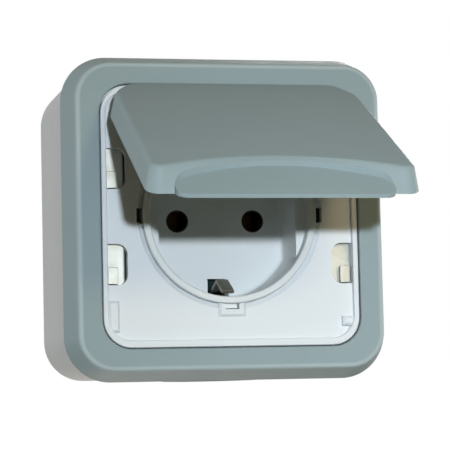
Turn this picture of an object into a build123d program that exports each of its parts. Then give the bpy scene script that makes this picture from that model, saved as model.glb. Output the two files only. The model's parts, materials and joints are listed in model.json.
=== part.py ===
from build123d import *
import math
import os

# Outdoor surface socket with a hinged lid, in millimetres.
# The wall is the plane y = 0, the socket looks out along -Y and +Z is up.
# Depths are counted in millimetres behind the front face of the frame.

# Box on the wall
BODY_DEPTH = 51.5           # wall to the front face of the frame
BOX_W = 76.6                # outside of the box at its front rim
BOX_H = 75.6
BOX_CORNER = 10.0
BOX_WALL = 2.4
BOX_BACK = 2.6
BOSS_R = 3.4
BOSS_RIB = 1.8
PILOT_DEPTH = 14.0
WALL_SLOT_SPACING = 50.0
WALL_SLOT_LENGTH = 9.0
WALL_SLOT_W = 5.0
REAR_ENTRY_R = 10.0         # thinned ring for a cable from behind
REAR_ENTRY_GROOVE = 1.2

# Cable entries in the top and bottom walls
ENTRY_R = 10.0
ENTRY_FROM_WALL = 22.0
GROMMET_FLANGE = 2.0
GROMMET_FLANGE_T = 0.9
GROMMET_CONE = 6.0
GROMMET_SKIN = 1.0
GROMMET_CLEAR = 0.1

# Frame
FRAME_W = 79.0              # at its back edge
FRAME_H = 78.0
FRAME_CORNER = 11.0
FRAME_SLOPE = 2.5           # each side, from back edge to front face
FRAME_SIDE = 8.6            # depth of the sloping side
FRAME_WALL = 3.0            # thickness of the front
FRAME_RIM = 3.6             # thickness of the side at its back edge
FRAME_EDGE_R = 1.2
OPENING_W = 62.9
OPENING_H = 62.8
OPENING_CORNER = 7.0
OPENING_EDGE_R = 0.5
RIM_OVERLAP = 0.5           # the frame's edge reaches this far over the box
RIM_CLEAR = 0.15
GASKET_T = 1.0
GASKET_W = 1.8
HOOK_W = 6.0
HOOK_T = 1.2
HOOK_NOSE = 1.1
HOOK_Z = 11.4
HOOK_CLEAR = 0.1

# White face plate
PLATE_CLEAR = 0.3           # to the frame's opening
PLATE_FRONT = 1.9
PLATE_T = 2.0
PLATE_BEAD_W = 1.25
PLATE_BEAD_FOOT = 0.5       # extra width of the bead along the bottom
PLATE_BEAD_FRONT = 0.5
PLATE_LAP = 1.15            # flange under the frame
WINDOW_W = 4.9
WINDOW_H = 9.8
WINDOW_Z = 11.4
WINDOW_CORNER = 2.4
WELL_HOLE_CLEAR = 0.08
WELL_HOLE_CHAMFER = 1.2
SIDE_SLOT_W = 1.4
SIDE_SLOT_H = 3.6
KEY_PAD_W = 6.6
KEY_PAD_DROP = 3.1          # below the ring
KEY_PAD_RISE = 0.7
PAD_BEVEL = 0.55            # sloping edges of the pads
KEY_W = 2.8
KEY_DROP = 1.1
KEY_CLEAR = 0.25
REST_PAD_RISE = 0.9
REST_PAD_W = 2.7
REST_PAD_H = 7.5
REST_PAD_Z = -23.7          # middle of the left pad
HOOK_PAD_Z = -25.3          # middle of the right pad
HOOK_PAD_H = 2.3
HOOK_GROOVE_W = 0.8         # groove around the right pad
HOOK_GROOVE_DEPTH = 0.6

# Socket well
WELL_Z = 0.3
WELL_R = 19.5
WELL_WALL = 1.7
WELL_FRONT = 1.1
WELL_DEPTH = 17.5
WELL_FLOOR = 3.6
WELL_FLAT = 16.9            # half distance between the side flats
WELL_FLAT_START = 3.7       # below the ring's front
WELL_RING_R = 0.5
WELL_FOOT = 1.0
FLANGE_T = 1.5
FLANGE_W = 2.8
EAR_W = 9.0
EAR_REACH = 6.2
RIVET_R = 1.5
RIVET_HEAD_R = 2.4
RIVET_HEAD_T = 0.9
RIVET_OUT = 3.8             # rivet centre outside the well's wall
PIN_SPACING = 19.0
PIN_HOLE_R = 2.55

# Steel support plate
SUPPORT_T = 1.2
SUPPORT_CLEAR = 0.3
TAB_T = 0.8
TAB_W = 2.4
TAB_H = 4.0
TAB_BEHIND = 0.7            # tab below the plate's front
SCREW_X = 26.5
SCREW_Z = 24.5
SCREW_R = 1.4
SCREW_HEAD_R = 2.7
SCREW_HEAD_T = 1.3
SCREW_LENGTH = 12.0
SCREW_SLOT_W = 0.8
SCREW_SLOT_DEPTH = 0.7
SCREW_CLEAR = 0.2

# Insulating base behind the well
BASE_W = 40.0
BASE_H = 40.0
BASE_CORNER = 9.0
BASE_T = 12.0
CONTACT_W = 6.0
CONTACT_GAP = 4.7           # between the two leaves
CONTACT_T = 0.8
CONTACT_LENGTH = 8.0
CAVITY_CLEAR = 0.4
TERMINAL_W = 7.0
TERMINAL_H = 7.5
TERMINAL_T = 6.5
TERMINAL_Z = 9.4            # nearest face of a terminal from the pin line
WIRE_R = 1.5
TERMINAL_SCREW_R = 1.2
TERMINAL_HEAD_R = 2.0
TERMINAL_HEAD_T = 1.4
BASE_SCREW_X = 14.5
BASE_SCREW_Z = -9.5
BASE_SCREW_R = 1.2
BASE_SCREW_BITE = 2.0

# Earth strip
EARTH_W = 3.0
EARTH_T = 0.8
EARTH_LEG_R = 17.6          # legs from the well's centre
EARTH_BEND_R = 15.2         # innermost point of a clip
EARTH_TIP_R = 18.6          # clip tips, outer side
EARTH_SLOT_W = 4.4
EARTH_SLOT_IN = 14.2
EARTH_SLOT_OUT = 18.9
EARTH_TIP = 4.6             # clip tips behind the ring's front

# Lid
LID_OPEN = 62.5             # degrees open as shown
LID_W = 60.8                # at the rim
LID_FLARE = 1.0             # each side, from face to rim
LID_T = 5.35
LID_WALL = 1.6
LID_CLEAR = 0.35            # rim to the frame's front when closed
LID_BARREL = 3.4            # radius of the rounded hinge edge
LID_TOP_CORNER = 13.0
LID_FOOT_CORNER = 3.0       # of the rim
LID_FACE_CORNER = 2.4       # of the face
LID_EDGE_R = 1.4            # soft roll round the face
AXIS_BELOW_OPENING = 3.65   # hinge axis below the top of the opening
LID_END = 56.0              # axis to the face's end at its corners
LID_ARCH = 8.0              # rise of the arched end in the middle
LID_FOOT = 57.5             # axis to the rim's lower edge
LID_FOOT_ARCH = 0.8
RECESS_W = 49.4             # finger recess in the lower end
RECESS_BELOW = 1.2          # its wall below the arch
RECESS_WALL = 0.9           # left between the recess and the hollow
RECESS_CORNER = 4.5
RECESS_STEP = 1.9           # face down to the lip at the recess wall
TONGUE_W = 48.6             # finger lip that runs out of the recess
TONGUE_END = 59.6           # axis to the lip's edge
TONGUE_EDGE = 0.9
TONGUE_CORNER = 2.5
PIN_R = 0.9
PIN_FIT = 0.05
PIN_LENGTH = 7.2
LUG_X = 20.0                # inner side of a hinge lug
LUG_W = 4.0
LUG_R = 1.6
LUG_CLEAR = 0.35
LUG_SWEEP = 2.2             # room before the axis for the lug as the lid turns
EAR_T = 4.0
LID_EAR_R = 2.5
SEAL_R = 20.5
SEAL_W = 1.6
SEAL_CLEAR = 0.35           # to the ring when closed

# Places worked out from the sizes above
GASKET_FRONT = FRAME_SIDE - RIM_OVERLAP - GASKET_T
BOX_RIM = GASKET_FRONT + GASKET_T
BOX_FLOOR = BODY_DEPTH - BOX_BACK
PLATE_W = OPENING_W - 2 * PLATE_CLEAR
PLATE_H = OPENING_H - 2 * PLATE_CLEAR
PLATE_CORNER = OPENING_CORNER - PLATE_CLEAR
PLATE_BACK = PLATE_FRONT + PLATE_T
SUPPORT_FRONT = PLATE_BACK + HOOK_NOSE / 2
SUPPORT_BACK = SUPPORT_FRONT + SUPPORT_T
SUPPORT_W = OPENING_W + 2 * PLATE_LAP - 2 * SUPPORT_CLEAR
SUPPORT_H = OPENING_H + 2 * PLATE_LAP - 2 * SUPPORT_CLEAR
WELL_OUT = WELL_R + WELL_WALL
WELL_FLOOR_FRONT = WELL_FRONT + WELL_DEPTH
WELL_BACK = WELL_FLOOR_FRONT + WELL_FLOOR
BASE_BACK = WELL_BACK + BASE_T
EARTH_BACK = WELL_BACK + EARTH_T
WINDOW_X = PLATE_W / 2 - PLATE_BEAD_W - WINDOW_W / 2
RIVET_RING = WELL_OUT + RIVET_OUT
LID_FACE = -LID_CLEAR - LID_T
AXIS_BEHIND = LID_FACE + LID_BARREL
AXIS_Y = AXIS_BEHIND - BODY_DEPTH
AXIS_Z = OPENING_H / 2 - AXIS_BELOW_OPENING
TERMINAL_BACK = BASE_BACK - TERMINAL_HEAD_T - TERMINAL_SCREW_R


def sheet(behind):
    """Plane parallel to the wall at a depth behind the frame's front, looking out."""
    return Plane(origin=(0, behind - BODY_DEPTH, 0), x_dir=(1, 0, 0), z_dir=(0, -1, 0))


def slab(outline, front, back):
    """Solid of an outline between two depths."""
    return extrude(sheet(back) * outline, back - front)


def rod(radius, front, back, x, z):
    """Round bar square to the wall between two depths."""
    return slab(Pos(x, z) * Circle(radius), front, back)


def tapered(outline_front, front, outline_back, back):
    """Solid with straight sides between two outlines."""
    return loft([sheet(front) * outline_front, sheet(back) * outline_back], ruled=True)


def four_corners(x, z):
    return [(sx * x, sz * z) for sx in (-1, 1) for sz in (-1, 1)]


def slotted_head(x, z, radius, front, back, slot_on_front):
    """Round screw head with a driver slot on its outer face."""
    head = rod(radius, front, back, x, z)
    bar = Pos(x, z) * Rectangle(2 * radius + 1, SCREW_SLOT_W)
    if slot_on_front:
        return head - slab(bar, front, front + SCREW_SLOT_DEPTH)
    return head - slab(bar, back - SCREW_SLOT_DEPTH, back)


def surface_box():
    body = slab(RectangleRounded(BOX_W, BOX_H, BOX_CORNER), BOX_RIM, BODY_DEPTH)
    inner_w = BOX_W - 2 * BOX_WALL
    inner_h = BOX_H - 2 * BOX_WALL
    body -= slab(RectangleRounded(inner_w, inner_h, BOX_CORNER - BOX_WALL), BOX_RIM, BOX_FLOOR)
    for x, z in four_corners(SCREW_X, SCREW_Z):
        body += rod(BOSS_R, SUPPORT_BACK, BOX_FLOOR + BOX_BACK / 2, x, z)
        wall_x = math.copysign(inner_w / 2 + BOX_WALL / 2, x)
        rib = Pos((x + wall_x) / 2, z) * Rectangle(abs(wall_x - x), BOSS_RIB)
        body += slab(rib, BOX_RIM + BOX_WALL, BOX_FLOOR + BOX_BACK / 2)
    for x, z in four_corners(SCREW_X, SCREW_Z):
        body -= rod(SCREW_R, SUPPORT_BACK, SUPPORT_BACK + PILOT_DEPTH, x, z)
    for side in (-1, 1):
        slot = Pos(side * WALL_SLOT_SPACING / 2, 0) * SlotOverall(WALL_SLOT_LENGTH, WALL_SLOT_W)
        body -= slab(slot, BOX_FLOOR, BODY_DEPTH)
        entry = Pos(0, -ENTRY_FROM_WALL, side * BOX_H / 2) * Cylinder(ENTRY_R, 4 * BOX_WALL)
        body -= entry
    ring = Circle(REAR_ENTRY_R) - Circle(REAR_ENTRY_R - REAR_ENTRY_GROOVE)
    body -= slab(ring, BODY_DEPTH - BOX_BACK / 2, BODY_DEPTH)
    return body


def cable_grommet(side):
    """Stepped rubber membrane in a cable entry: +1 for the top wall, -1 for the bottom."""
    wall_out = BOX_H / 2
    wall_in = BOX_H / 2 - BOX_WALL - GROMMET_CLEAR
    neck = ENTRY_R - GROMMET_CLEAR
    flange = ENTRY_R + GROMMET_FLANGE
    tip = ENTRY_R / 3
    low = wall_in - GROMMET_FLANGE_T
    profile = Polyline(
        (0, wall_out - BOX_WALL - GROMMET_CONE),
        (tip, wall_out - BOX_WALL - GROMMET_CONE),
        (neck - GROMMET_SKIN, low),
        (flange, low),
        (flange, wall_in),
        (neck, wall_in),
        (neck, wall_out),
        (flange, wall_out),
        (flange, wall_out + GROMMET_FLANGE_T),
        (neck - GROMMET_SKIN, wall_out + GROMMET_FLANGE_T),
        (tip, wall_out - BOX_WALL - GROMMET_CONE + GROMMET_SKIN),
        (0, wall_out - BOX_WALL - GROMMET_CONE + GROMMET_SKIN),
        close=True,
    )
    grommet = revolve(Plane.XZ * make_face(profile), axis=Axis.Z)
    turn = 0 if side > 0 else 180
    return Pos(0, -ENTRY_FROM_WALL, 0) * Rot(turn, 0, 0) * grommet


def box_gasket():
    outer = RectangleRounded(BOX_W, BOX_H, BOX_CORNER)
    inner_r = BOX_CORNER - GASKET_W
    inner = RectangleRounded(BOX_W - 2 * GASKET_W, BOX_H - 2 * GASKET_W, inner_r)
    return slab(outer - inner, GASKET_FRONT, BOX_RIM)


def front_frame():
    back_outline = RectangleRounded(FRAME_W, FRAME_H, FRAME_CORNER)
    face_r = FRAME_CORNER - FRAME_SLOPE
    face_outline = RectangleRounded(FRAME_W - 2 * FRAME_SLOPE, FRAME_H - 2 * FRAME_SLOPE, face_r)
    body = tapered(face_outline, 0, back_outline, FRAME_SIDE)
    front_edges = body.faces().sort_by(Axis.Y)[0].edges()
    body = fillet(front_edges, FRAME_EDGE_R)
    rim_r = BOX_CORNER + RIM_CLEAR
    rim = RectangleRounded(BOX_W + 2 * RIM_CLEAR, BOX_H + 2 * RIM_CLEAR, rim_r)
    body -= slab(rim, GASKET_FRONT, FRAME_SIDE)
    hollow_w = FRAME_W - 2 * FRAME_RIM
    hollow_h = FRAME_H - 2 * FRAME_RIM
    hollow = RectangleRounded(hollow_w, hollow_h, FRAME_CORNER - FRAME_RIM)
    body -= slab(hollow, FRAME_WALL, FRAME_SIDE)
    opening = slab(RectangleRounded(OPENING_W, OPENING_H, OPENING_CORNER), 0, FRAME_WALL)
    body -= opening
    mouth = body.faces().sort_by(Axis.Y)[0].inner_wires()[0].edges()
    body = fillet(mouth, OPENING_EDGE_R)
    for x, z in four_corners(1, HOOK_Z):
        body += snap_hook(x, z)
    return body


def snap_hook(side, z):
    """Sprung arm behind the frame whose nose catches the edge of the support plate."""
    arm_in = SUPPORT_W / 2 + SUPPORT_CLEAR + HOOK_CLEAR
    nose_front = SUPPORT_BACK + HOOK_CLEAR
    tip = nose_front + HOOK_NOSE
    profile = Polyline(
        (arm_in, FRAME_WALL / 2),
        (arm_in + HOOK_T, FRAME_WALL / 2),
        (arm_in + HOOK_T, tip),
        (arm_in, tip),
        (arm_in - HOOK_NOSE, nose_front + HOOK_NOSE / 3),
        (arm_in - HOOK_NOSE, nose_front),
        (arm_in, nose_front),
        close=True,
    )
    level = Plane(origin=(0, -BODY_DEPTH, z - HOOK_W / 2), x_dir=(1, 0, 0), z_dir=(0, 0, 1))
    hook = extrude(level * make_face(profile), HOOK_W)
    return hook if side > 0 else mirror(hook, about=Plane.YZ)


def plate_window(x, z):
    """Outline of a side window, rounded towards the middle of the plate."""
    window = Rectangle(WINDOW_W, WINDOW_H)
    inner = window.vertices().sort_by(Axis.X)[:2] if x > 0 else window.vertices().sort_by(Axis.X)[2:]
    return Pos(x, z) * fillet(inner, WINDOW_CORNER)


def hinge_lug(side):
    """Post on the plate with a round nose that carries one hinge pin."""
    x = side * (LUG_X + LUG_W / 2)
    nose = axis_bar(LUG_R, LUG_W, x)
    post = Pos(x, AXIS_Z) * Rectangle(LUG_W, 2 * LUG_R)
    lug = nose + slab(post, AXIS_BEHIND, PLATE_FRONT + PLATE_T / 2)
    return lug - axis_bar(PIN_R, 2 * LUG_W, x)


def raised_pad(outline, rise):
    """Pad on the plate's front with sloping edges."""
    pad = slab(outline, PLATE_FRONT - rise, PLATE_FRONT + HOOK_GROOVE_DEPTH)
    return chamfer(pad.faces().sort_by(Axis.Y)[0].edges(), PAD_BEVEL)


def face_plate():
    outline = RectangleRounded(PLATE_W, PLATE_H, PLATE_CORNER)
    lap_r = OPENING_CORNER + PLATE_LAP - SUPPORT_CLEAR
    lap = RectangleRounded(SUPPORT_W, SUPPORT_H, lap_r)
    body = slab(outline, PLATE_BEAD_FRONT, PLATE_BACK) + slab(lap, FRAME_WALL, SUPPORT_FRONT)
    inside_h = PLATE_H - 2 * PLATE_BEAD_W - PLATE_BEAD_FOOT
    inside_r = PLATE_CORNER - PLATE_BEAD_W
    inside = Pos(0, PLATE_BEAD_FOOT / 2) * RectangleRounded(PLATE_W - 2 * PLATE_BEAD_W, inside_h, inside_r)
    body -= slab(inside, PLATE_BEAD_FRONT, PLATE_FRONT)
    bead_edges = body.faces().sort_by(Axis.Y)[0].edges()
    body = fillet(bead_edges, PLATE_BEAD_W / 4)
    hinge_gap = Pos(0, PLATE_H / 2) * Rectangle(2 * (LUG_X + LUG_W + EAR_T / 2), 4 * PLATE_BEAD_W)
    body -= slab(hinge_gap, PLATE_BEAD_FRONT, PLATE_FRONT)
    rib = RectangleRounded(PLATE_W - 2 * PLATE_T, PLATE_H - 2 * PLATE_T, PLATE_CORNER - PLATE_T)
    body -= slab(rib, PLATE_BACK, SUPPORT_FRONT)
    key_top = WELL_Z - WELL_OUT
    pad_h = KEY_PAD_DROP + WELL_WALL
    pad = Pos(0, key_top - KEY_PAD_DROP + pad_h / 2) * Rectangle(KEY_PAD_W, pad_h)
    body += raised_pad(pad, KEY_PAD_RISE)
    rest_x = WINDOW_X + WINDOW_W / 2 - REST_PAD_W / 2
    body += raised_pad(Pos(-rest_x, REST_PAD_Z) * Rectangle(REST_PAD_W, REST_PAD_H), REST_PAD_RISE)
    hook_pad = Pos(rest_x, HOOK_PAD_Z) * Rectangle(REST_PAD_W, HOOK_PAD_H)
    groove_h = HOOK_PAD_H + HOOK_GROOVE_W
    groove = Pos(rest_x - HOOK_GROOVE_W / 2, HOOK_PAD_Z - HOOK_GROOVE_W / 2)
    groove_bed = groove * Rectangle(REST_PAD_W + HOOK_GROOVE_W, groove_h) - hook_pad
    body -= slab(groove_bed, PLATE_FRONT, PLATE_FRONT + HOOK_GROOVE_DEPTH)
    body += raised_pad(hook_pad, REST_PAD_RISE)
    hole_r = WELL_OUT + WELL_HOLE_CLEAR
    body -= rod(hole_r, PLATE_BEAD_FRONT, SUPPORT_FRONT, 0, WELL_Z)
    cone_top = Pos(0, WELL_Z) * Circle(hole_r + WELL_HOLE_CHAMFER)
    cone_foot = Pos(0, WELL_Z) * Circle(hole_r)
    flare = tapered(cone_top, PLATE_FRONT, cone_foot, PLATE_FRONT + WELL_HOLE_CHAMFER)
    pad_zone = slab(pad, PLATE_BEAD_FRONT, SUPPORT_FRONT)
    body -= flare - pad_zone
    notch = Pos(0, key_top) * Rectangle(KEY_W + 2 * KEY_CLEAR, 2 * (KEY_DROP + KEY_CLEAR))
    body -= slab(notch, PLATE_BEAD_FRONT, SUPPORT_FRONT)
    for side in (-1, 1):
        slot = Pos(side * hole_r, WELL_Z) * Rectangle(2 * SIDE_SLOT_W, SIDE_SLOT_H)
        body -= slab(slot, PLATE_BEAD_FRONT, SUPPORT_FRONT)
        body += hinge_lug(side)
        rivet_z = WELL_Z + side * RIVET_RING
        rivet_room = SUPPORT_FRONT - RIVET_HEAD_T - SCREW_CLEAR
        body -= rod(RIVET_HEAD_R + SCREW_CLEAR, rivet_room, SUPPORT_FRONT, 0, rivet_z)
    for x, z in four_corners(WINDOW_X, WINDOW_Z):
        body -= slab(plate_window(x, z), PLATE_FRONT, SUPPORT_FRONT)
    for x, z in four_corners(SCREW_X, SCREW_Z):
        pocket = SUPPORT_FRONT - SCREW_HEAD_T - SCREW_CLEAR
        body -= rod(SCREW_HEAD_R + SCREW_CLEAR, pocket, SUPPORT_FRONT, x, z)
    return body


def support_plate():
    corner = OPENING_CORNER + PLATE_LAP - SUPPORT_CLEAR
    plate = slab(RectangleRounded(SUPPORT_W, SUPPORT_H, corner), SUPPORT_FRONT, SUPPORT_BACK)
    plate -= rod(WELL_OUT + SUPPORT_CLEAR, SUPPORT_FRONT, SUPPORT_BACK, 0, WELL_Z)
    key_top = WELL_Z - WELL_OUT
    notch = Pos(0, key_top) * Rectangle(KEY_W + 2 * KEY_CLEAR, 2 * (KEY_DROP + KEY_CLEAR))
    plate -= slab(notch, SUPPORT_FRONT, SUPPORT_BACK)
    for side in (-1, 1):
        plate -= rod(RIVET_R, SUPPORT_FRONT, SUPPORT_BACK, 0, WELL_Z + side * RIVET_RING)
    for x, z in four_corners(SCREW_X, SCREW_Z):
        plate -= rod(SCREW_R + SCREW_CLEAR, SUPPORT_FRONT, SUPPORT_BACK, x, z)
    for x, z in four_corners(WINDOW_X, WINDOW_Z):
        plate += spring_tab(math.copysign(1, x), z)
    return plate


def spring_tab(side, window_z):
    """Bent tab that stands up in the lower outer corner of a window."""
    outer = WINDOW_X + WINDOW_W / 2 - SUPPORT_CLEAR
    middle_z = window_z - WINDOW_H / 2 + SUPPORT_CLEAR + TAB_H / 2
    top = PLATE_FRONT + TAB_BEHIND
    cap = Pos(outer - TAB_W / 2, middle_z) * Rectangle(TAB_W, TAB_H)
    leg = Pos(outer - TAB_T / 2, middle_z) * Rectangle(TAB_T, TAB_H)
    tab = slab(cap, top, top + TAB_T) + slab(leg, top, SUPPORT_FRONT + SUPPORT_T / 2)
    return tab if side > 0 else mirror(tab, about=Plane.YZ)


def support_screws():
    screws = []
    for x, z in four_corners(SCREW_X, SCREW_Z):
        head = slotted_head(x, z, SCREW_HEAD_R, SUPPORT_FRONT - SCREW_HEAD_T, SUPPORT_FRONT, True)
        screws.append(head + rod(SCREW_R, SUPPORT_FRONT, SUPPORT_BACK + SCREW_LENGTH, x, z))
    return screws


def socket_well():
    body = rod(WELL_OUT, WELL_FRONT, WELL_BACK, 0, WELL_Z)
    body += rod(WELL_OUT + FLANGE_W, SUPPORT_BACK, SUPPORT_BACK + FLANGE_T, 0, WELL_Z)
    ear = Pos(0, WELL_Z) * RectangleRounded(EAR_W, 2 * (WELL_OUT + EAR_REACH), EAR_W / 3)
    body += slab(ear, SUPPORT_BACK, SUPPORT_BACK + FLANGE_T)
    flat_front = WELL_FRONT + WELL_FLAT_START
    mouth = rod(WELL_R, WELL_FRONT, flat_front, 0, WELL_Z)
    circle = Pos(0, WELL_Z) * Circle(WELL_R)
    deep = circle & (Pos(0, WELL_Z) * Rectangle(2 * WELL_FLAT, 3 * WELL_R))
    pocket = slab(deep, flat_front, WELL_FLOOR_FRONT)
    foot_edges = pocket.faces().sort_by(Axis.Y)[-1].edges()
    pocket = fillet(foot_edges, WELL_FOOT)
    body -= mouth
    body -= pocket
    ring_edges = body.faces().sort_by(Axis.Y)[0].edges()
    body = fillet(ring_edges, WELL_RING_R)
    key_h = KEY_DROP + WELL_WALL / 2
    key = Pos(0, WELL_Z - WELL_OUT - KEY_DROP + key_h / 2) * Rectangle(KEY_W, key_h)
    body += slab(key, PLATE_FRONT + KEY_PAD_RISE, SUPPORT_BACK)
    for side in (-1, 1):
        body -= rod(PIN_HOLE_R, WELL_FLOOR_FRONT, WELL_BACK, side * PIN_SPACING / 2, WELL_Z)
        slot_z = WELL_Z + side * (EARTH_SLOT_IN + EARTH_SLOT_OUT) / 2
        slot = Pos(0, slot_z) * Rectangle(EARTH_SLOT_W, EARTH_SLOT_OUT - EARTH_SLOT_IN)
        body -= slab(slot, WELL_FLOOR_FRONT - WELL_FOOT, WELL_BACK)
        body -= rod(RIVET_R, SUPPORT_BACK, SUPPORT_BACK + FLANGE_T, 0, WELL_Z + side * RIVET_RING)
        screw_x = side * BASE_SCREW_X
        body -= rod(BASE_SCREW_R, WELL_BACK - BASE_SCREW_BITE, WELL_BACK, screw_x, WELL_Z + BASE_SCREW_Z)
    return body


def well_rivets():
    rivets = []
    for side in (-1, 1):
        z = WELL_Z + side * RIVET_RING
        flange_back = SUPPORT_BACK + FLANGE_T
        shank = rod(RIVET_R, SUPPORT_FRONT, flange_back, 0, z)
        front_head = rod(RIVET_HEAD_R, SUPPORT_FRONT - RIVET_HEAD_T, SUPPORT_FRONT, 0, z)
        rivets.append(shank + front_head + rod(RIVET_HEAD_R, flange_back, flange_back + RIVET_HEAD_T, 0, z))
    return rivets


def rear_base():
    outline = Pos(0, WELL_Z) * RectangleRounded(BASE_W, BASE_H, BASE_CORNER)
    body = slab(outline, WELL_BACK, BASE_BACK)
    cavity_w = CONTACT_GAP + 2 * CONTACT_T + 2 * CAVITY_CLEAR
    cavity_h = CONTACT_W + 2 * CAVITY_CLEAR
    cavity_back = WELL_BACK + CONTACT_LENGTH + CONTACT_T
    terminal_w = TERMINAL_W + 2 * CAVITY_CLEAR
    room_h = BASE_H / 2 - TERMINAL_Z
    tail_h = TERMINAL_Z - CONTACT_W / 2
    tail_w = CONTACT_W - CONTACT_T + 2 * CAVITY_CLEAR
    for side in (-1, 1):
        x = side * PIN_SPACING / 2
        body -= slab(Pos(x, WELL_Z) * Rectangle(cavity_w, cavity_h), WELL_BACK, cavity_back)
        tail = Pos(x, WELL_Z + CONTACT_W / 2 + tail_h / 2) * Rectangle(tail_w, tail_h + CAVITY_CLEAR)
        body -= slab(tail, WELL_BACK, cavity_back)
        room = Pos(x, WELL_Z + TERMINAL_Z + room_h / 2) * Rectangle(terminal_w, room_h)
        body -= slab(room, WELL_BACK, TERMINAL_BACK)
        body -= rod(TERMINAL_HEAD_R + SCREW_CLEAR, TERMINAL_BACK, BASE_BACK, x, terminal_middle(1))
        screw_x = side * BASE_SCREW_X
        body -= rod(BASE_SCREW_R + SCREW_CLEAR, WELL_BACK, BASE_BACK, screw_x, WELL_Z + BASE_SCREW_Z)
    strip_h = 2 * EARTH_LEG_R + EARTH_T + 2 * CAVITY_CLEAR
    groove = Pos(0, WELL_Z) * Rectangle(EARTH_W + 2 * CAVITY_CLEAR, strip_h)
    body -= slab(groove, WELL_BACK, EARTH_BACK)
    earth_room = Pos(0, WELL_Z - TERMINAL_Z - room_h / 2) * Rectangle(terminal_w, room_h)
    body -= slab(earth_room, WELL_BACK, TERMINAL_BACK)
    body -= rod(TERMINAL_HEAD_R + SCREW_CLEAR, TERMINAL_BACK, BASE_BACK, 0, terminal_middle(-1))
    return body


def base_screws():
    screws = []
    for side in (-1, 1):
        x = side * BASE_SCREW_X
        z = WELL_Z + BASE_SCREW_Z
        head_back = BASE_BACK + TERMINAL_HEAD_T
        head = slotted_head(x, z, TERMINAL_HEAD_R, BASE_BACK, head_back, False)
        screws.append(head + rod(BASE_SCREW_R, WELL_BACK - BASE_SCREW_BITE, BASE_BACK, x, z))
    return screws


def pin_contact(side):
    """Brass fork whose two leaves grip a plug pin, with a tail up to its terminal."""
    x = side * PIN_SPACING / 2
    bridge_front = WELL_BACK + CONTACT_LENGTH
    bridge_back = bridge_front + CONTACT_T
    fork_w = CONTACT_GAP + 2 * CONTACT_T
    fork = slab(Pos(x, WELL_Z) * Rectangle(fork_w, CONTACT_W), WELL_BACK, bridge_back)
    fork -= slab(Pos(x, WELL_Z) * Rectangle(CONTACT_GAP, 2 * CONTACT_W), WELL_BACK, bridge_front)
    tail_h = TERMINAL_Z - CONTACT_W / 2
    tail = Pos(x, WELL_Z + CONTACT_W / 2 + tail_h / 2) * Rectangle(CONTACT_W - CONTACT_T, tail_h)
    return fork + slab(tail, bridge_front, bridge_back)


def terminal_middle(side):
    return WELL_Z + side * (TERMINAL_Z + TERMINAL_H / 2)


def terminal(x, side, front):
    """Brass clamp block with a wire hole along Z and a screw from behind."""
    z = terminal_middle(side)
    block = slab(Pos(x, z) * Rectangle(TERMINAL_W, TERMINAL_H), front, TERMINAL_BACK)
    wire_y = TERMINAL_BACK - TERMINAL_T / 2 - WIRE_R - BODY_DEPTH
    block -= Pos(x, wire_y, z) * Cylinder(WIRE_R, 2 * TERMINAL_H)
    return block - rod(TERMINAL_SCREW_R, TERMINAL_BACK - TERMINAL_T / 2, TERMINAL_BACK, x, z)


def terminal_screws():
    screws = []
    for x, side in ((-PIN_SPACING / 2, 1), (PIN_SPACING / 2, 1), (0, -1)):
        z = terminal_middle(side)
        head = slotted_head(x, z, TERMINAL_HEAD_R, TERMINAL_BACK, TERMINAL_BACK + TERMINAL_HEAD_T, False)
        screws.append(head + rod(TERMINAL_SCREW_R, TERMINAL_BACK - TERMINAL_T / 2, TERMINAL_BACK, x, z))
    return screws


def earth_strip():
    """One sprung strip: a bar behind the well's floor and a clip at top and bottom."""
    tip = WELL_FRONT + EARTH_TIP
    bend = (tip + WELL_FLOOR_FRONT) / 2
    half_t = EARTH_T / 2
    leg = EARTH_LEG_R - half_t
    tip_r = EARTH_TIP_R - half_t
    path = Polyline(
        (tip, tip_r),
        (bend, EARTH_BEND_R),
        (WELL_FLOOR_FRONT - half_t, leg),
        (WELL_BACK + half_t, leg),
        (WELL_BACK + half_t, -leg),
        (WELL_FLOOR_FRONT - half_t, -leg),
        (bend, -EARTH_BEND_R),
        (tip, -tip_r),
    )
    side_view = Plane(origin=(-EARTH_W / 2, -BODY_DEPTH, WELL_Z), x_dir=(0, 1, 0), z_dir=(1, 0, 0))
    return extrude(side_view * trace(path, EARTH_T), EARTH_W)


def lid_outline(half_w, top, corner_z, middle_z, top_r, foot_r):
    """Lid outline with a straight top, rounded corners and an arched lower end."""
    lines = Polyline((half_w, corner_z), (half_w, top), (-half_w, top), (-half_w, corner_z))
    arch = ThreePointArc((-half_w, corner_z), (0, middle_z), (half_w, corner_z))
    face = make_face(Curve() + [lines, arch])
    face = fillet(face.vertices().sort_by(Axis.Y)[-2:], top_r)
    return fillet(face.vertices().sort_by(Axis.Y)[:2], foot_r)


def axis_bar(radius, length, x):
    """Round bar on the hinge axis, centred at x."""
    return Pos(x, AXIS_Y, AXIS_Z) * Rot(0, 90, 0) * Cylinder(radius, length)


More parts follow.
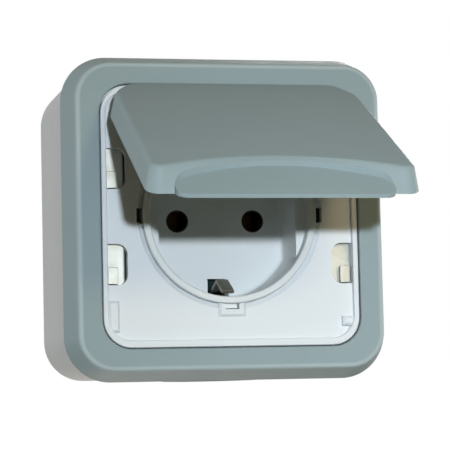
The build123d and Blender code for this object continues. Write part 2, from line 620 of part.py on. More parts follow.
def lid_closed():
    top = AXIS_Z + LID_BARREL
    corner = AXIS_Z - LID_END
    arch = corner + LID_ARCH
    foot = AXIS_Z - LID_FOOT
    rim_half = LID_W / 2
    face_half = rim_half - LID_FLARE
    face_r = LID_TOP_CORNER - LID_FLARE
    face = lid_outline(face_half, top, corner, arch, face_r, LID_FACE_CORNER)
    rim = lid_outline(rim_half, top, foot, foot + LID_FOOT_ARCH, LID_TOP_CORNER, LID_FOOT_CORNER)
    body = tapered(face, LID_FACE, rim, -LID_CLEAR)
    body = fillet(body.faces().sort_by(Axis.Y)[0].edges(), LID_EDGE_R)
    recess_top = arch - RECESS_BELOW
    room = finger_room(recess_top)
    body += finger_tongue(recess_top) - room
    body -= finger_bay(recess_top) & room
    hollow_top = top - LID_WALL
    hollow_arch = recess_top + RECESS_WALL
    hollow_foot = hollow_arch - LID_FOOT_ARCH
    roof = lid_outline(face_half - LID_WALL, hollow_top, hollow_foot, hollow_arch,
                       face_r - LID_WALL, LID_FOOT_CORNER)
    brim = lid_outline(rim_half - LID_WALL, hollow_top, hollow_foot, hollow_arch,
                       LID_TOP_CORNER - LID_WALL, LID_FOOT_CORNER)
    body -= tapered(roof, LID_FACE + LID_WALL, brim, -LID_CLEAR)
    above = Pos(0, AXIS_Z + LID_W / 2) * Rectangle(2 * LID_W, LID_W)
    crown = slab(above, LID_FACE - LID_T, LID_T)
    body -= crown - axis_bar(LID_BARREL, 2 * LID_W, 0)
    for side in (-1, 1):
        body += lid_ear(side)
        body -= lug_room(side)
        pin_x = side * (LUG_X + LUG_W - PIN_LENGTH / 2)
        body -= axis_bar(PIN_R + PIN_FIT, PIN_LENGTH + LUG_CLEAR, pin_x)
    return body


def lid_ear(side):
    """Boss under the lid's face that turns on the inner end of a hinge pin."""
    x = side * (LUG_X - LUG_CLEAR - EAR_T / 2)
    block = Pos(x, AXIS_Z) * Rectangle(EAR_T, 2 * LID_EAR_R)
    return slab(block, LID_FACE + LID_WALL / 2, AXIS_BEHIND) + axis_bar(LID_EAR_R, EAR_T, x)


def lug_room(side):
    """Room in the lid's hinge edge for a lug of the plate, at every angle."""
    x = side * (LUG_X + LUG_W / 2)
    room_w = LUG_W + 2 * LUG_CLEAR
    low = AXIS_Z - LUG_R - LUG_CLEAR
    high = AXIS_Z + LID_BARREL + LUG_CLEAR
    sweep = Pos(x, (low + high) / 2) * Rectangle(room_w, high - low)
    return axis_bar(LUG_R + LUG_CLEAR, room_w, x) + slab(sweep, AXIS_BEHIND - LUG_SWEEP, LID_T)


def finger_tongue(recess_top):
    """Block that carries the finger lip out past the lid's lower end."""
    tip = AXIS_Z - TONGUE_END
    plan = Rectangle(TONGUE_W, recess_top - tip)
    plan = fillet(plan.vertices().sort_by(Axis.Y)[:2], TONGUE_CORNER)
    return slab(Pos(0, (recess_top + tip) / 2) * plan, LID_FACE + RECESS_STEP, -LID_CLEAR)


def finger_bay(recess_top):
    """Rounded bay in the lid's lower end, arched like the edge of the face."""
    end = AXIS_Z - TONGUE_END - RECESS_CORNER
    half_w = RECESS_W / 2
    side_top = recess_top - LID_ARCH * (RECESS_W / (LID_W - 2 * LID_FLARE)) ** 2
    lines = Polyline((half_w, side_top), (half_w, end), (-half_w, end), (-half_w, side_top))
    arch = ThreePointArc((-half_w, side_top), (0, recess_top), (half_w, side_top))
    plan = make_face(Curve() + [lines, arch])
    plan = fillet(plan.vertices().sort_by(Axis.Y)[2:], RECESS_CORNER)
    return slab(plan, LID_FACE - LID_T, -LID_CLEAR)


def finger_room(recess_top):
    """All the space before the sloping floor that runs from the bay to the lip's edge."""
    tip = AXIS_Z - TONGUE_END
    fall = (LID_T - TONGUE_EDGE - RECESS_STEP) / (recess_top - tip)
    floor_top = LID_FACE + RECESS_STEP - fall * RECESS_CORNER
    floor_end = -LID_CLEAR - TONGUE_EDGE + fall * RECESS_CORNER
    profile = Polyline(
        (LID_FACE - LID_T, recess_top + RECESS_CORNER),
        (floor_top, recess_top + RECESS_CORNER),
        (floor_end, tip - RECESS_CORNER),
        (LID_FACE - LID_T, tip - RECESS_CORNER),
        close=True,
    )
    side_view = Plane(origin=(-RECESS_W, -BODY_DEPTH, 0), x_dir=(0, 1, 0), z_dir=(1, 0, 0))
    return extrude(side_view * make_face(profile), 2 * RECESS_W)


def lid_seal_closed():
    ring = Circle(SEAL_R) - Circle(SEAL_R - SEAL_W)
    return slab(Pos(0, WELL_Z) * ring, LID_FACE + LID_WALL, WELL_FRONT - SEAL_CLEAR)


def opened(shape):
    """Turns a lid piece about the hinge axis from closed to the pose shown."""
    return shape.rotate(Axis((0, AXIS_Y, AXIS_Z), (1, 0, 0)), -LID_OPEN)


def hinge_pin(side):
    return axis_bar(PIN_R, PIN_LENGTH, side * (LUG_X + LUG_W - PIN_LENGTH / 2))


NODES = {
    "surface_box": surface_box(),
    "cable_grommet_top": cable_grommet(1),
    "cable_grommet_bottom": cable_grommet(-1),
    "box_gasket": box_gasket(),
    "front_frame": front_frame(),
    "face_plate": face_plate(),
    "support_plate": support_plate(),
    "support_screws": support_screws(),
    "socket_well": socket_well(),
    "well_rivets": well_rivets(),
    "rear_base": rear_base(),
    "base_screws": base_screws(),
    "live_contact": pin_contact(-1),
    "neutral_contact": pin_contact(1),
    "live_terminal": terminal(-PIN_SPACING / 2, 1, WELL_BACK + CONTACT_T),
    "neutral_terminal": terminal(PIN_SPACING / 2, 1, WELL_BACK + CONTACT_T),
    "earth_terminal": terminal(0, -1, EARTH_BACK),
    "terminal_screws": terminal_screws(),
    "earth_strip": earth_strip(),
    "hinge_pin_left": hinge_pin(-1),
    "hinge_pin_right": hinge_pin(1),
    "lid": opened(lid_closed()),
    "lid_seal": opened(lid_seal_closed()),
}

os.makedirs("parts", exist_ok=True)
for name, shape in NODES.items():
    solids = shape if isinstance(shape, list) else [shape]
    node = Compound(children=solids) if len(solids) > 1 else solids[0]
    node.label = name
    export_step(node, os.path.join("parts", name + ".step"))
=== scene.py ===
import json
import math

import bmesh
import bpy
from mathutils import Matrix, Vector

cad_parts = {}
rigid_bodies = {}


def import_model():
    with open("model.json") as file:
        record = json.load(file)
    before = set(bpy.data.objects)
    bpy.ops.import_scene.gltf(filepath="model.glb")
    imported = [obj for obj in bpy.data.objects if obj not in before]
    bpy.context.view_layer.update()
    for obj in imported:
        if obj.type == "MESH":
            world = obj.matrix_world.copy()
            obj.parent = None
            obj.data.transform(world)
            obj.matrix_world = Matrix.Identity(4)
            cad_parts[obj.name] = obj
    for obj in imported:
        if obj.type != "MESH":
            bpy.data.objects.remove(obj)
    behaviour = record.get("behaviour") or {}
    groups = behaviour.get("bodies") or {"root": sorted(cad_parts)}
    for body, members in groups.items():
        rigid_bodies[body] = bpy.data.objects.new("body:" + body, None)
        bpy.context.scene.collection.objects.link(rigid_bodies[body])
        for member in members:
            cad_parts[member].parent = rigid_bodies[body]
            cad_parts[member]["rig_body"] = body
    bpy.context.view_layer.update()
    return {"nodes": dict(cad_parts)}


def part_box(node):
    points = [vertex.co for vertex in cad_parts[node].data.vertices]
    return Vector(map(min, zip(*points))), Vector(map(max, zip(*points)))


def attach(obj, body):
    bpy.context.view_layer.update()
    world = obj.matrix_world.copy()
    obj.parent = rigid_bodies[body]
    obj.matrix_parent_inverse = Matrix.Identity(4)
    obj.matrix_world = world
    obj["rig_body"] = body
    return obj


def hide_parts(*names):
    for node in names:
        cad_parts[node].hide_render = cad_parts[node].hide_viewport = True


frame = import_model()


# Surface box: the grey tray that stands on the wall and carries everything else.
# It is injection moulded in a light grey plastic with a fine spark-eroded grain,
# and two screws through the slots in its back hold it to the wall.

class Wire:
    """A socket in a node tree. Sums written with it add Math nodes."""

    def __init__(self, tree, socket=None):
        self.tree = tree
        self.socket = socket

    def node(self, kind, settings=None, sockets=None, output=0):
        """Adds a node: its settings first, then the values or links of its sockets."""
        made = self.tree.nodes.new(kind)
        for name, value in (settings or {}).items():
            setattr(made, name, value)
        for name, value in (sockets or {}).items():
            wires = value if isinstance(value, list) else [value]
            for wire in wires:
                if isinstance(wire, Wire):
                    self.tree.links.new(wire.socket, made.inputs[name])
                else:
                    made.inputs[name].default_value = wire
        return Wire(self.tree, made.outputs[output] if made.outputs else None)

    def sum(self, operation, first, second):
        return self.node("ShaderNodeMath", {"operation": operation}, {0: first, 1: second})

    def __add__(self, other):
        return self.sum("ADD", self, other)

    def __radd__(self, other):
        return self.sum("ADD", other, self)

    def __sub__(self, other):
        return self.sum("SUBTRACT", self, other)

    def __rsub__(self, other):
        return self.sum("SUBTRACT", other, self)

    def __mul__(self, other):
        return self.sum("MULTIPLY", self, other)

    def __rmul__(self, other):
        return self.sum("MULTIPLY", other, self)

    def __truediv__(self, other):
        return self.sum("DIVIDE", self, other)

    def __rtruediv__(self, other):
        return self.sum("DIVIDE", other, self)

    def __abs__(self):
        return self.node("ShaderNodeMath", {"operation": "ABSOLUTE"}, {0: self})


def tone(red, green, blue):
    """Linear colour from the eight-bit colour seen on the surface."""
    return tuple(((c / 255 + 0.055) / 1.055) ** 2.4 for c in (red, green, blue)) + (1.0,)


def new_finish(name):
    """New material with its surface shader, and the wire of the piece's own coordinates."""
    material = bpy.data.materials.new(name)
    material.use_nodes = True
    tree = material.node_tree
    shader = tree.nodes["Principled BSDF"]
    place = Wire(tree).node("ShaderNodeTexCoord", output="Object")
    return material, shader, place


def noise(place, cells_per_metre, detail, rough=0.5):
    """Cloudy pattern from zero to one."""
    return place.node("ShaderNodeTexNoise", None, {
        "Vector": place, "Scale": cells_per_metre, "Detail": detail, "Roughness": rough})


def blend_colour(factor, first, second):
    """First colour where the factor is zero, second where it is one."""
    return factor.node("ShaderNodeMix", {"data_type": "RGBA"}, {0: factor, 6: first, 7: second}, 2)


def bumped(height, strength, depth):
    """Shading direction of a surface that rises with the height, by depth metres."""
    return height.node("ShaderNodeBump", None, {
        "Strength": strength, "Distance": depth, "Height": height})


def feed(shader, **wires):
    """Links wires to the shader's varying sockets."""
    for name, wire in wires.items():
        wire.tree.links.new(wire.socket, shader.inputs[name.replace("_", " ")])


def moulded_plastic(name, colour, flow_colour, roughness, grain_depth, shine=0.35):
    """Coloured plastic: faint flow clouds, uneven gloss and the grain of the mould."""
    cloud_share = 0.75
    gloss_spread = 0.1
    material, shader, place = new_finish(name)
    shader.inputs["Specular IOR Level"].default_value = shine
    clouds = noise(place, cells_per_metre=38, detail=4)
    specks = noise(place, cells_per_metre=900, detail=2)
    mottling = clouds * cloud_share + specks * (1 - cloud_share)
    grain = noise(place, cells_per_metre=2600, detail=3, rough=0.6)
    wear = noise(place, cells_per_metre=140, detail=5, rough=0.6)
    feed(shader,
         Base_Color=blend_colour(mottling, colour, flow_colour),
         Roughness=roughness - gloss_spread / 2 + wear * gloss_spread,
         Normal=bumped(grain, strength=0.35, depth=grain_depth))
    return material


def placed(name, data):
    """New object in the scene, at the origin."""
    thing = bpy.data.objects.new(name, data)
    bpy.context.scene.collection.objects.link(thing)
    return thing


def made_plain(piece):
    """Gives a piece the mesh that its modifiers make, and removes them."""
    view = bpy.context.evaluated_depsgraph_get()
    mesh = bpy.data.meshes.new_from_object(piece.evaluated_get(view))
    piece.modifiers.clear()
    piece.data = mesh
    return mesh


def eased_copy(node, material, ease):
    """Copy of a solid with its triangles joined and its sharp edges slightly rounded."""
    weld_reach = 2e-6
    flat_angle = math.radians(0.4)
    edge_angle = math.radians(32)
    shape = bmesh.new()
    shape.from_mesh(frame["nodes"][node].data)
    bmesh.ops.remove_doubles(shape, verts=shape.verts, dist=weld_reach)
    bmesh.ops.dissolve_limit(shape, angle_limit=flat_angle, verts=shape.verts, edges=shape.edges)
    joined = bpy.data.meshes.new(node + "_finished")
    shape.to_mesh(joined)
    shape.free()
    joined.shade_smooth()
    piece = placed(node + "_finished", joined)
    rounding = piece.modifiers.new("rounding", "BEVEL")
    rounding.limit_method = "ANGLE"
    rounding.angle_limit = edge_angle
    rounding.width = ease
    rounding.segments = 2
    piece.modifiers.new("facing", "WEIGHTED_NORMAL").keep_sharp = True
    finished = made_plain(piece)
    finished.materials.clear()
    finished.materials.append(material)
    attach(piece, frame["nodes"][node]["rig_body"])
    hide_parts(node)
    return piece


box_plastic = moulded_plastic("box_plastic", tone(169, 173, 176), tone(176, 180, 183),
                              roughness=0.46, grain_depth=0.00004)
eased_copy("surface_box", box_plastic, ease=0.00025)


# Cable grommets: soft grey rubber plugs snapped into the round cable entries.
# Each is moulded in one piece with a lip on both sides of the wall and a thin
# ringed cone that is cut open to the size of the cable.

def soft_rubber(name, colour, dusty_colour, roughness):
    """Matt rubber with a pale bloom of dust in patches."""
    dust_matt = 0.15
    material, shader, place = new_finish(name)
    bloom = noise(place, cells_per_metre=90, detail=6, rough=0.65)
    grain = noise(place, cells_per_metre=1800, detail=2)
    feed(shader,
         Base_Color=blend_colour(bloom, colour, dusty_colour),
         Roughness=roughness + bloom * dust_matt,
         Normal=bumped(grain, strength=0.5, depth=0.00006))
    return material


def new_tree(name, inputs, output):
    """Empty geometry tree with named inputs, and a wire for each of them."""
    tree = bpy.data.node_groups.new(name, "GeometryNodeTree")
    for label, kind in inputs.items():
        tree.interface.new_socket(label, in_out="INPUT", socket_type="NodeSocket" + kind)
    tree.interface.new_socket(output, in_out="OUTPUT", socket_type="NodeSocketGeometry")
    given = tree.nodes.new("NodeGroupInput")
    return tree, {label: Wire(tree, given.outputs[label]) for label in inputs}


def moved(shape, x, y, z, turn=(0, 0, 0)):
    """Shape turned, then shifted by numbers or wires."""
    shift = shape.node("ShaderNodeCombineXYZ", None, {0: x, 1: y, 2: z})
    return shape.node("GeometryNodeTransform", None, {
        "Geometry": shape, "Translation": shift, "Rotation": turn})


def grown(name, points, tree, sizes, body):
    """Plain mesh that a geometry tree makes on the given points, riding on a body."""
    crease_angle = math.radians(35)
    seeds = bpy.data.meshes.new(name)
    seeds.from_pydata(points, [], [])
    piece = placed(name, seeds)
    growth = piece.modifiers.new(name, "NODES")
    growth.node_group = tree
    for socket in tree.interface.items_tree:
        if socket.name in sizes:
            growth[socket.identifier] = sizes[socket.name]
    mesh = made_plain(piece)
    mesh.shade_smooth()
    mesh.set_sharp_from_angle(angle=crease_angle)
    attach(piece, body)
    return piece


grommet_rubber = soft_rubber("grommet_rubber", tone(112, 120, 122), tone(132, 139, 140), roughness=0.62)
for grommet in ("cable_grommet_top", "cable_grommet_bottom"):
    eased_copy(grommet, grommet_rubber, ease=0.0002)

cut_rings, ring = new_tree("cut_rings", {
    "Seeds": "Geometry", "Rings": "Int", "Wide Radius": "Float", "Narrow Radius": "Float",
    "Wide Height": "Float", "Narrow Height": "Float", "Bead": "Float", "Behind": "Float",
    "Rubber": "Material"}, "Beads")
last_ring = ring["Rings"] - 1
step_down = (ring["Narrow Height"] - ring["Wide Height"]) / last_ring
start = step_down.node("ShaderNodeCombineXYZ", None, {2: ring["Wide Height"]})
stride = step_down.node("ShaderNodeCombineXYZ", None, {2: step_down})
places = stride.node("GeometryNodeMeshLine", None, {
    "Count": ring["Rings"], "Start Location": start, "Offset": stride})
share = places.node("GeometryNodeInputIndex") / last_ring
girth = ring["Wide Radius"] + (ring["Narrow Radius"] - ring["Wide Radius"]) * share
loop = places.node("GeometryNodeCurvePrimitiveCircle", None, {"Resolution": 72, "Radius": 1.0})
loops = places.node("GeometryNodeInstanceOnPoints", None, {
    "Points": places, "Instance": loop,
    "Scale": girth.node("ShaderNodeCombineXYZ", None, {0: girth, 1: girth, 2: 1.0})})
loops = loops.node("GeometryNodeRealizeInstances", None, {"Geometry": loops})
bead = loops.node("GeometryNodeCurvePrimitiveCircle", None, {
    "Resolution": 10, "Radius": ring["Bead"]})
top_beads = loops.node("GeometryNodeCurveToMesh", None, {"Curve": loops, "Profile Curve": bead})
bottom_beads = moved(top_beads, 0.0, 0.0, 0.0, (math.pi, 0, 0))
beads = top_beads.node("GeometryNodeJoinGeometry", None, {"Geometry": [top_beads, bottom_beads]})
beads = moved(beads, 0.0, ring["Behind"], 0.0)
beads = beads.node("GeometryNodeRealizeInstances", None, {"Geometry": beads})
beads = beads.node("GeometryNodeSetMaterial", None, {"Geometry": beads, "Material": ring["Rubber"]})
beads.node("NodeGroupOutput", None, {"Beads": beads})

cone_low, cone_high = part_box("cable_grommet_top")
first_ring_inside = 0.0010
last_ring_inside = 0.0070
grown("grommet_cut_rings", [(0, 0, 0)], cut_rings, {
    "Rings": 4,
    "Wide Radius": 0.0082,
    "Narrow Radius": 0.0042,
    "Wide Height": cone_high[2] - first_ring_inside,
    "Narrow Height": cone_high[2] - last_ring_inside,
    "Bead": 0.00038,
    "Behind": (cone_low[1] + cone_high[1]) / 2,
    "Rubber": grommet_rubber}, "housing")


# Box gasket: a flat soft ring that lies on the rim of the box.
# It is die cut from dark sponge rubber and is squeezed by the frame.

gasket_rubber = soft_rubber("gasket_rubber", tone(58, 60, 62), tone(78, 80, 80), roughness=0.78)
eased_copy("box_gasket", gasket_rubber, ease=0.00015)


# Rear base: the cream insulating block behind the well, with rooms for the contacts.
# It is moulded in a heat-proof filled plastic that shows faint flow clouds, and two
# screws hold it to the well.

base_plastic = moulded_plastic("base_plastic", tone(205, 199, 182), tone(222, 216, 202),
                               roughness=0.58, grain_depth=0.00006)
eased_copy("rear_base", base_plastic, ease=0.0003)


# Contacts and terminals: folded brass forks that grip the pins, and clamp blocks
# milled from brass bar. The bare metal has a brown tarnish in places, and is painted dark as painted
# shade.

def rolled_lines(place, streak):
    """Fine lines along the way that a metal was rolled."""
    lines = place.node("ShaderNodeMapping", None, {"Vector": place, "Scale": streak})
    return noise(lines, cells_per_metre=2200, detail=2)


def bare_metal(name, clean, stained, roughness, streak):
    """Metal with patchy stain and fine lines along the way it was rolled."""
    stain_matt = 0.12
    line_matt = 0.08
    material, shader, place = new_finish(name)
    patches = noise(place, cells_per_metre=160, detail=5, rough=0.6)
    rolling = rolled_lines(place, streak)
    shader.inputs["Metallic"].default_value = 1.0
    feed(shader,
         Base_Color=blend_colour(patches, clean, stained),
         Roughness=roughness - line_matt + patches * stain_matt + rolling * line_matt,
         Normal=bumped(rolling, strength=0.25, depth=0.00003))
    return material


# Painted shade: both brass colours are far darker than clean brass, so the contacts deep in the pin
# holes look dark.
brass = bare_metal("brass", tone(84, 66, 36), tone(48, 37, 22), roughness=0.48, streak=(1, 1, 0.08))
for node in ("live_contact", "neutral_contact",
             "live_terminal", "neutral_terminal", "earth_terminal"):
    eased_copy(node, brass, ease=0.00012)


# Socket well: the round white cup that takes the plug, with two flats in its sides.
# It is moulded in a glossy white plastic and riveted to the steel plate. The mouths of its pin
# holes are painted near-black as painted shade.

def finish_of(material):
    """Shader, colour and coordinates of a material that gets one more layer of colour."""
    tree = material.node_tree
    shader = tree.nodes["Principled BSDF"]
    colour = Wire(tree, shader.inputs["Base Color"].links[0].from_socket)
    return shader, colour, colour.node("ShaderNodeTexCoord", output="Object")


def along(place, axis):
    """Coordinate along one axis of the piece."""
    return place.node("ShaderNodeSeparateXYZ", None, {0: place}, axis)


def slope(first, second):
    """Length of a slope from its two sides."""
    squares = first * first + second * second
    return squares.node("ShaderNodeMath", {"operation": "SQRT"}, {0: squares})


def fade(value, none_at, full_at):
    """Smooth change from zero to one between two values."""
    return value.node("ShaderNodeMapRange", {"interpolation_type": "SMOOTHSTEP"}, {
        "Value": value, "From Min": none_at, "From Max": full_at})


well_plastic = moulded_plastic("well_plastic", tone(214, 220, 221), tone(220, 225, 226),
                               roughness=0.34, grain_depth=0.000015, shine=0.1)
well_shader, clean_colour, well_place = finish_of(well_plastic)
contact_low, contact_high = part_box("neutral_contact")
well_low, well_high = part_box("socket_well")
pin_aside = (contact_low[0] + contact_high[0]) / 2
pin_level = (well_low[2] + well_high[2]) / 2
# Painted shade: the walls of the pin holes fade to near-black, where light does not reach.
hole_shade_edge = 0.0029
hole_shade_full = 0.0026
hole_shade_colour = tone(18, 17, 14)
beside_pin = abs(along(well_place, "X")) - pin_aside
above_pin = along(well_place, "Z") - pin_level
painted_hole_shade = fade(slope(beside_pin, above_pin), hole_shade_edge, hole_shade_full)
feed(well_shader, Base_Color=blend_colour(painted_hole_shade, clean_colour, hole_shade_colour))
eased_copy("socket_well", well_plastic, ease=0.0002)


# Support plate and earth strip: pressed from zinc plated spring steel. The plate holds the
# well and carries four bent tabs, and the strip ends in a clip at the top and bottom of the well.
# Both are bright where open to view, and painted dark as painted shade behind the white parts.

def plated_steel(name, axis, dark_below, bright_above, clean, stained, roughness, streak):
    """Zinc plated steel, painted darker towards zero along one axis of the piece as painted shade."""
    painted_shade_colour = tone(32, 46, 48)
    stain_matt = 0.12
    painted_shade_matt = 0.25
    material, shader, place = new_finish(name)
    # Painted shade: the colour fades to a dark teal towards zero along the axis.
    bright = fade(abs(along(place, axis)), dark_below, bright_above)
    patches = noise(place, cells_per_metre=260, detail=5, rough=0.6)
    zinc = blend_colour(patches, clean, stained)
    rolling = rolled_lines(place, streak)
    shader.inputs["Metallic"].default_value = 1.0
    feed(shader,
         Base_Color=blend_colour(bright, painted_shade_colour, zinc),
         Roughness=roughness + patches * stain_matt + (1 - bright) * painted_shade_matt,
         Normal=bumped(rolling, strength=0.25, depth=0.00003))
    return material


# Painted shade on the support plate: dark behind the face plate, up to just inside the windows' inner
# edges.
window_reach = 0.0076
shade_creep = 0.0004
shade_fade = 0.0011
window_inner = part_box("face_plate")[1][0] - window_reach
zinc_plate = plated_steel(
    "zinc_plate", "X", window_inner + shade_creep, window_inner + shade_fade,
    tone(170, 174, 174), tone(144, 141, 122), roughness=0.43, streak=(0.08, 1, 1))
eased_copy("support_plate", zinc_plate, ease=0.0001)

# Painted shade on the earth strip: dark where it lies deeper than the front of the well's floor.
floor_thickness = 0.0036
clip_fade = 0.0030
floor_depth = -well_high[1] + floor_thickness
spring_steel = plated_steel(
    "spring_steel", "Y", floor_depth, floor_depth + clip_fade,
    tone(150, 148, 134), tone(112, 106, 88), roughness=0.36, streak=(1, 1, 1))
eased_copy("earth_strip", spring_steel, ease=0.0001)


# Screws: four hold the support plate to the box, two the base to the well and three the cores.
# They are cold headed from steel wire, slotted, rolled with a coarse thread and zinc plated.

slotted_screws, screw = new_tree("slotted_screws", {
    "Seats": "Geometry", "Head Radius": "Float", "Head Height": "Float", "Thread Radius": "Float",
    "Thread Depth": "Float", "Pitch": "Float", "Length": "Float", "Slot Width": "Float",
    "Slot Depth": "Float", "Facing": "Vector", "Steel": "Material"}, "Screws")
head_taper = 0.9
cutter_length = 3
point_length = 1.2
point_end = 0.2
core = screw["Thread Radius"] - screw["Thread Depth"]
point = core * point_length
shank = screw["Length"] - point
head = core.node("GeometryNodeMeshCone", None, {
    "Vertices": 40, "Radius Top": screw["Head Radius"] * head_taper,
    "Radius Bottom": screw["Head Radius"], "Depth": screw["Head Height"]})
cutter_size = core.node("ShaderNodeCombineXYZ", None, {
    0: screw["Head Radius"] * cutter_length, 1: screw["Slot Width"], 2: screw["Slot Depth"] * 2})
cutter = core.node("GeometryNodeMeshCube", None, {"Size": cutter_size})
cutter = moved(cutter, 0.0, 0.0, screw["Head Height"])
head = head.node("GeometryNodeMeshBoolean", {"operation": "DIFFERENCE"}, {
    "Mesh 1": head, "Mesh 2": cutter})
bar = core.node("GeometryNodeMeshCylinder", None, {"Vertices": 28, "Radius": core, "Depth": shank})
bar = moved(bar, 0.0, 0.0, shank * -0.5)
tip = core.node("GeometryNodeMeshCone", None, {
    "Vertices": 28, "Radius Top": core, "Radius Bottom": core * point_end, "Depth": point})
tip = moved(tip, 0.0, 0.0, screw["Length"] * -1)
helix = core.node("GeometryNodeCurveSpiral", None, {
    "Resolution": 22, "Rotations": shank / screw["Pitch"], "Start Radius": core, "End Radius": core,
    "Height": shank})
ridge = core.node("GeometryNodeCurvePrimitiveCircle", None, {
    "Resolution": 3, "Radius": screw["Thread Depth"]})
thread = helix.node("GeometryNodeCurveToMesh", None, {
    "Curve": helix, "Profile Curve": ridge, "Fill Caps": True})
thread = moved(thread, 0.0, 0.0, shank * -1)
one_screw = head.node("GeometryNodeJoinGeometry", None, {"Geometry": [head, bar, tip, thread]})
screws = head.node("GeometryNodeInstanceOnPoints", None, {
    "Points": screw["Seats"], "Instance": one_screw, "Rotation": screw["Facing"]})
screws = screws.node("GeometryNodeRealizeInstances", None, {"Geometry": screws})
screws = screws.node("GeometryNodeSetMaterial", None, {
    "Geometry": screws, "Material": screw["Steel"]})
screws.node("NodeGroupOutput", None, {"Screws": screws})

screw_steel = bare_metal("screw_steel", tone(204, 203, 198), tone(178, 174, 160),
                         roughness=0.33, streak=(1, 0.08, 1))
to_front = (math.pi / 2, 0, 0)
to_back = (-math.pi / 2, 0, 0)

head_radius = 0.0027
head_height = 0.0013
low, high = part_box("support_screws")
seat = low[1] + head_height
outward = high[0] - head_radius
level = high[2] - head_radius
support_screws = grown("support_screws_turned", [
    (x, seat, z) for x in (-outward, outward) for z in (-level, level)], slotted_screws, {
        "Head Radius": head_radius, "Head Height": head_height, "Thread Radius": 0.0014,
        "Thread Depth": 0.00028, "Pitch": 0.0011, "Length": high[1] - seat, "Slot Width": 0.0008,
        "Slot Depth": 0.0007, "Facing": to_front, "Steel": screw_steel}, "housing")
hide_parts("support_screws")

head_radius = 0.002
head_height = 0.0014
small_screw = {
    "Head Radius": head_radius, "Head Height": head_height, "Thread Radius": 0.0012,
    "Thread Depth": 0.00024, "Pitch": 0.0009, "Slot Width": 0.0008, "Slot Depth": 0.0007,
    "Facing": to_back, "Steel": screw_steel}
low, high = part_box("base_screws")
seat = high[1] - head_height
outward = high[0] - head_radius
level = (low[2] + high[2]) / 2
base_screws = grown("base_screws_turned", [
    (-outward, seat, level), (outward, seat, level)], slotted_screws,
    {**small_screw, "Length": seat - low[1]}, "housing")
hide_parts("base_screws")

low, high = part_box("terminal_screws")
seat = high[1] - head_height
outward = high[0] - head_radius
level = high[2] - head_radius
earth_level = low[2] + head_radius
terminal_screws = grown("terminal_screws_turned", [
    (-outward, seat, level), (outward, seat, level), (0, seat, earth_level)], slotted_screws,
    {**small_screw, "Pitch": 0.0006, "Length": seat - low[1]}, "housing")
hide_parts("terminal_screws")


# Rivets and hinge pins: the rivets are short steel bars headed on both sides, which clench the
# well's ears to the support plate. The pins are cut from bright wire and pressed into the lugs.

for node in ("well_rivets", "hinge_pin_left", "hinge_pin_right"):
    eased_copy(node, screw_steel, ease=0.00025)


# Face plate: the white cover in the frame's opening, with a raised bead round its edge, four
# windows for the steel tabs and two lugs that carry the hinge pins. It is moulded in a glossy
# white plastic, and the frame holds it by a flange round its edge.

white_plastic = moulded_plastic("white_plastic", tone(212, 219, 224), tone(219, 225, 229),
                                roughness=0.36, grain_depth=0.000015, shine=0.1)
eased_copy("face_plate", white_plastic, ease=0.0002)


# Front frame: the grey bevelled frame that snaps over the box and hides its screws.
# It is moulded in a satin blue-grey plastic with a fine even grain, and a paler line round
# its front edge is a painted highlight.

def satin_plastic(name):
    """Blue-grey plastic of the frame and the lid."""
    return moulded_plastic(name, tone(138, 155, 160), tone(145, 162, 166),
                           roughness=0.54, grain_depth=0.00003, shine=0.12)


frame_plastic = satin_plastic("frame_plastic")
frame_shader, band_colour, frame_place = finish_of(frame_plastic)
frame_low, frame_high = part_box("front_frame")
# Painted highlight: a paler line along the rounded front edge of the frame.
side_slope = 0.0025
edge_corner = 0.0085
highlight_inside = 0.0004
highlight_reach = 0.0009
highlight_colour = tone(172, 187, 191)
beyond = []
for axis, index in (("X", 0), ("Z", 2)):
    middle = (frame_low[index] + frame_high[index]) / 2
    corner_start = (frame_high[index] - frame_low[index]) / 2 - side_slope - edge_corner
    past_start = abs(along(frame_place, axis) - middle) - corner_start
    beyond.append(past_start.sum("MAXIMUM", past_start, 0.0))
from_edge = slope(beyond[0], beyond[1]) - edge_corner
painted_edge_highlight = fade(abs(from_edge + highlight_inside), highlight_reach, 0.0)
feed(frame_shader, Base_Color=blend_colour(painted_edge_highlight, band_colour, highlight_colour))
eased_copy("front_frame", frame_plastic, ease=0.00015)


# Lid and its seal: the hinged cover that keeps rain out. It is a thin dished moulding in the
# frame's satin plastic, with a finger lip at its free end, and turns on two steel pins.
# A round soft ring in its hollow closes on the rim of the well.

shell_plastic = satin_plastic("shell_plastic")
eased_copy("lid", shell_plastic, ease=0.00015)
seal_rubber = soft_rubber("seal_rubber", tone(62, 64, 66), tone(84, 86, 86), roughness=0.7)
eased_copy("lid_seal", seal_rubber, ease=0.0002)


# Studio: a plain bright room with a pale painted floor under the socket. A small bluish lamp hangs
# near the camera with a warm, softer one to its right, and large soft lamps light the sides, the
# back, the top and the underside.

def background_rays(tree):
    """Wire that is one for the rays that show the background: straight, mirrored or let through."""
    paths = tree.nodes.new("ShaderNodeLightPath")
    shown = Wire(tree, paths.outputs["Is Camera Ray"])
    for kind in ("Is Glossy Ray", "Is Transmission Ray"):
        shown = shown.sum("MAXIMUM", shown, Wire(tree, paths.outputs[kind]))
    return shown


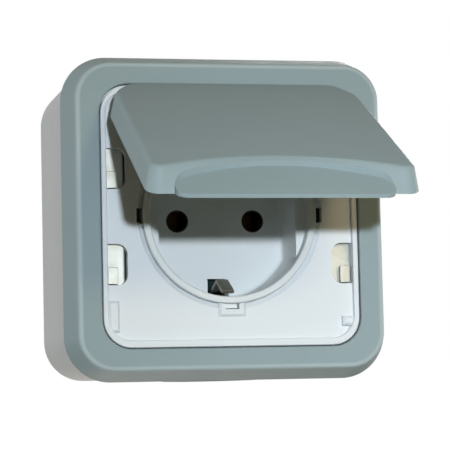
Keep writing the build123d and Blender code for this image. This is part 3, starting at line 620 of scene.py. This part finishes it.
reach = 12.0
drop = -0.5
floor_mesh = bpy.data.meshes.new("floor")
floor_mesh.from_pydata(
    [(-reach, -reach, drop), (reach, -reach, drop), (reach, reach, drop), (-reach, reach, drop)],
    [], [(0, 1, 2, 3)])
floor = placed("floor", floor_mesh)
floor_matt = 0.75
floor_matt_spread = 0.1
floor_paint, floor_shader, floor_place = new_finish("floor_paint")
floor_clouds = noise(floor_place, cells_per_metre=3, detail=3)
floor_grain = noise(floor_place, cells_per_metre=300, detail=2)
floor_colour = blend_colour(floor_clouds, tone(238, 238, 236), tone(243, 243, 241))
feed(floor_shader,
     Base_Color=floor_colour,
     Roughness=floor_matt + floor_clouds * floor_matt_spread,
     Normal=bumped(floor_grain, strength=0.1, depth=0.0001))
floor_tree = floor_paint.node_tree
pale = floor_colour.node("ShaderNodeEmission", None, {"Color": floor_colour, "Strength": 1.0})
pale_share = 0.85
floor_mix = pale.node("ShaderNodeMixShader", None, {
    0: background_rays(floor_tree) * pale_share,
    1: Wire(floor_tree, floor_shader.outputs["BSDF"]),
    2: pale})
floor_tree.links.new(floor_mix.socket, floor_tree.nodes["Material Output"].inputs["Surface"])
floor_mesh.materials.append(floor_paint)

room = bpy.data.worlds.new("room")
room.use_nodes = True
room_tree = room.node_tree
room_tree.nodes.clear()
shown = background_rays(room_tree)
ambient = shown.node("ShaderNodeBackground", None, {
    "Color": (1.0, 0.76, 0.0, 1.0), "Strength": 0.05})
white = shown.node("ShaderNodeBackground", None, {
    "Color": (1.0, 1.0, 1.0, 1.0), "Strength": 1.0})
mixed = shown.node("ShaderNodeMixShader", None, {0: shown, 1: ambient, 2: white})
shown.node("ShaderNodeOutputWorld", None, {"Surface": mixed})
bpy.context.scene.world = room
bpy.context.scene.view_settings.view_transform = "Standard"


def lamp(name, azimuth, elevation, distance, size, watts, colour, aside=(0, 0)):
    """Round lamp with a hood, aimed at the socket or aside of it. Azimuth is positive to the right."""
    hood_angle = math.radians(60)
    socket_middle = Vector((0, -0.04, 0))
    data = bpy.data.lights.new(name, "AREA")
    data.shape = "DISK"
    data.size = size
    data.spread = hood_angle
    data.energy = watts
    data.color = colour
    light = placed(name, data)
    turn = math.radians(azimuth)
    rise = math.radians(elevation)
    ray_out = Vector((
        math.sin(turn) * math.cos(rise), -math.cos(turn) * math.cos(rise), math.sin(rise)))
    light.location = socket_middle + ray_out * distance
    aim = light.location - socket_middle - Vector((aside[0], 0, aside[1]))
    light.rotation_euler = aim.to_track_quat("Z", "Y").to_euler()


lamp("key", azimuth=-7.8, elevation=1.9, distance=0.5, size=0.016, watts=0.221,
     colour=(0.85, 0.92, 1.0), aside=(0.035, -0.03))
lamp("fill", azimuth=12.5, elevation=14.6, distance=0.8, size=0.14, watts=0.128,
     colour=(1.0, 0.8, 0.46), aside=(0.03, -0.03))
lamp("left", azimuth=-110, elevation=4, distance=0.8, size=0.4, watts=0.34,
     colour=(0.95, 0.98, 1.0))
lamp("top", azimuth=-125, elevation=45, distance=0.8, size=0.4, watts=0.07,
     colour=(1.0, 0.92, 0.85))
lamp("back", azimuth=160, elevation=14, distance=0.9, size=0.3, watts=0.6,
     colour=(1.0, 0.99, 0.97))
lamp("right", azimuth=110, elevation=4, distance=0.8, size=0.4, watts=0.45,
     colour=(1.0, 0.99, 0.97))
lamp("below", azimuth=180, elevation=-50, distance=0.5, size=0.3, watts=0.14,
     colour=(1.0, 0.92, 0.84))


# Camera: a long lens to the left of the socket and a little below it, as in the photograph.
# Its place, turn and lens were fitted to the pin holes, the well and the edges of the frame.

picture_width = 450
focal_pixels = 2088.712
sensor_width = 36.0
camera_data = bpy.data.cameras.new("camera")
camera_data.sensor_width = sensor_width
camera_data.lens = focal_pixels / picture_width * sensor_width
camera_data.clip_start = 0.01
camera = placed("camera", camera_data)
yaw, pitch, roll = 0.225, 0.089, -0.023
ahead = Vector((math.sin(yaw) * math.cos(pitch), math.cos(yaw) * math.cos(pitch), math.sin(pitch)))
sideways = Vector((math.cos(yaw), -math.sin(yaw), 0))
upward = sideways.cross(ahead)
right = math.cos(roll) * sideways + math.sin(roll) * upward
up = math.cos(roll) * upward - math.sin(roll) * sideways
spot = Vector((-0.112077, -0.533779, -0.046438))
camera.matrix_world = Matrix((
    (right.x, up.x, -ahead.x, spot.x),
    (right.y, up.y, -ahead.y, spot.y),
    (right.z, up.z, -ahead.z, spot.z),
    (0, 0, 0, 1)))
bpy.context.scene.camera = camera
